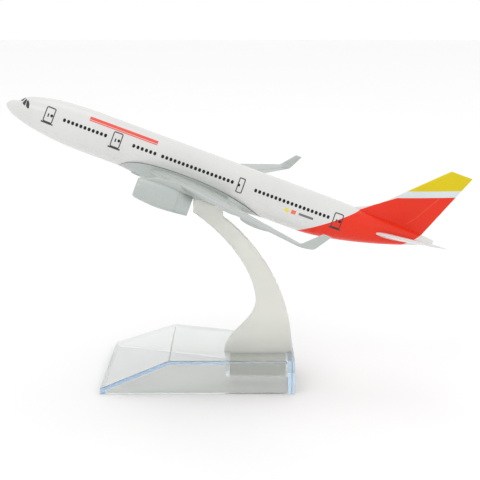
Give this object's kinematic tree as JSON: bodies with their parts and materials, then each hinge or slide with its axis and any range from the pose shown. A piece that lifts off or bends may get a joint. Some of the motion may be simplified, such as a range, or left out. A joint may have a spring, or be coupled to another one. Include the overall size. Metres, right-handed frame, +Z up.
{
  "type": "desktop airliner model",
  "caption": "Nose-up jet airliner model that lifts off a curved frosted arm, which stands in a clear base with a sloping front.",
  "frame": {"origin": "on the floor, under the middle of the whole model's bounding box", "axes": "+Z up; the nose points to -X and up; the airliner's left wing is on the -Y side, which faces the picture's camera"},
  "size_m": [0.1656, 0.1588, 0.1062],
  "materials": {
    "white_paint": "gloss white, with a red end underneath",
    "tailplane_paint": "gloss white",
    "fin_paint": "gloss red, with plain white and yellow bands",
    "fairing_paint": "satin silver-grey",
    "wing_paint": "satin silver-grey",
    "cowl_paint": "gloss silver-grey with a bare lip",
    "dark_metal": "dark grey",
    "screw_steel": "bright",
    "frosted_plastic": "frosted, slightly warm",
    "clear_plastic": "clear, polished, with pale blue edges"
  },
  "bodies": {
    "stand": {"stand_base": "clear_plastic"},
    "arm": {"stand_arm": "frosted_plastic"},
    "airliner": {"fuselage_half_left": "white_paint", "fuselage_half_right": "white_paint", "belly_fairing": "fairing_paint", "tail_fin": "fin_paint", "tailplane_left": "tailplane_paint", "tailplane_right": "tailplane_paint", "wing_left": "wing_paint", "wing_right": "wing_paint", "engine_pylon_left": "wing_paint", "engine_pylon_right": "wing_paint", "engine_cowl_left": "cowl_paint", "engine_cowl_right": "cowl_paint", "engine_fan_left": "dark_metal", "engine_fan_right": "dark_metal", "exhaust_core_left": "dark_metal", "exhaust_core_right": "dark_metal", "fairing_screw_front_left": "screw_steel", "fairing_screw_front_right": "screw_steel", "fairing_screw_rear_left": "screw_steel", "fairing_screw_rear_right": "screw_steel"}
  },
  "joints": [
    {"name": "arm_lift", "type": "slide", "parent": "stand", "child": "arm", "axis": [0, 0, 1], "range_m": [0, 0.012]},
    {"name": "airliner_lift", "type": "slide", "parent": "arm", "child": "airliner", "axis": [0, 0, 1], "range_m": [0, 0.012]}
  ]
}
